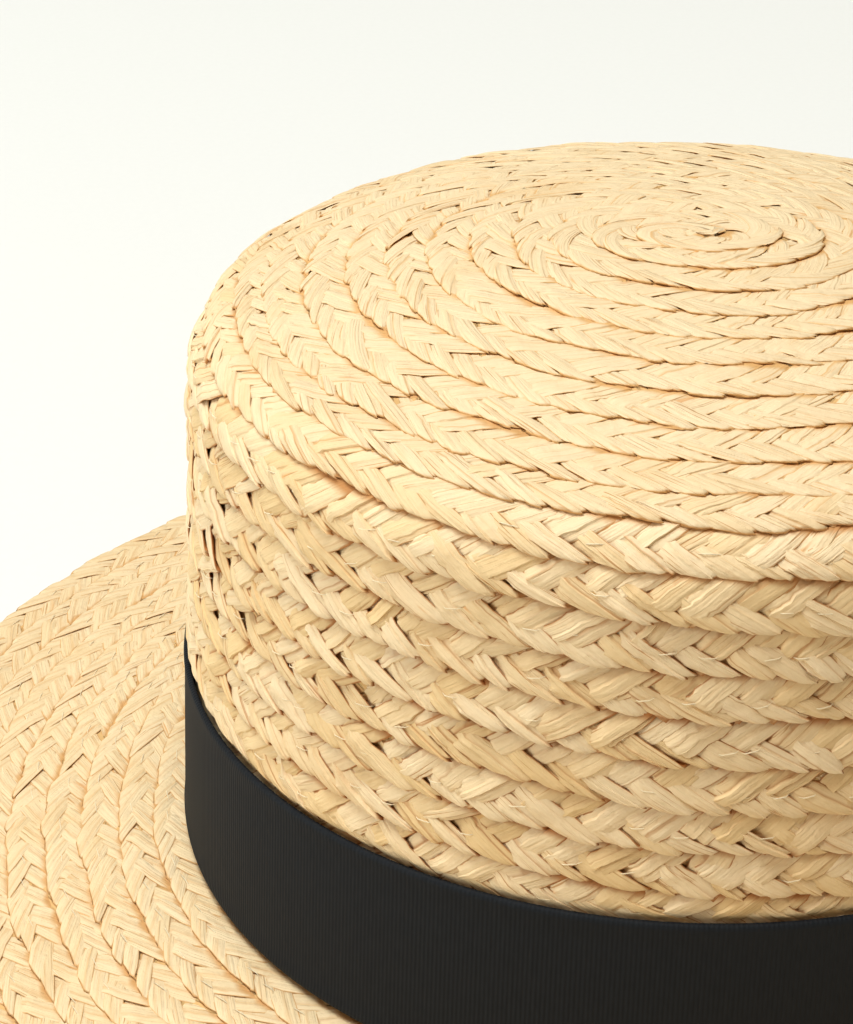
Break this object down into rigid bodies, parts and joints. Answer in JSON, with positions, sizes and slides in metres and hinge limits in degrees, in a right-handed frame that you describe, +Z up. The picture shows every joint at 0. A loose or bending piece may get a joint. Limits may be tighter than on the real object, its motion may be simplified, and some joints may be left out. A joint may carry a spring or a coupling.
{
  "type": "flat-topped braided raffia hat with a ribbon band",
  "caption": "Sun hat of sewn raffia braid: tall oval flat-topped crown with rounded shoulder, wide level brim and a dark ribbon band round the crown's foot.",
  "frame": {"origin": "centre of the oval on the plane that the rim rests on", "axes": "+Z up through the crown; -Y is the hat's front, over the face; +X is the wearer's left, where the ribbon's end is lapped"},
  "size_m": [0.314, 0.3272, 0.1304],
  "materials": {
    "raffia_braid": "matte natural raffia, flat braid sewn in overlapping rows",
    "ribbon": "soft matte ribbed ribbon, black"
  },
  "bodies": {
    "root": {"crown": "raffia_braid", "brim": "raffia_braid", "ribbon_band": "ribbon"}
  },
  "joints": []
}
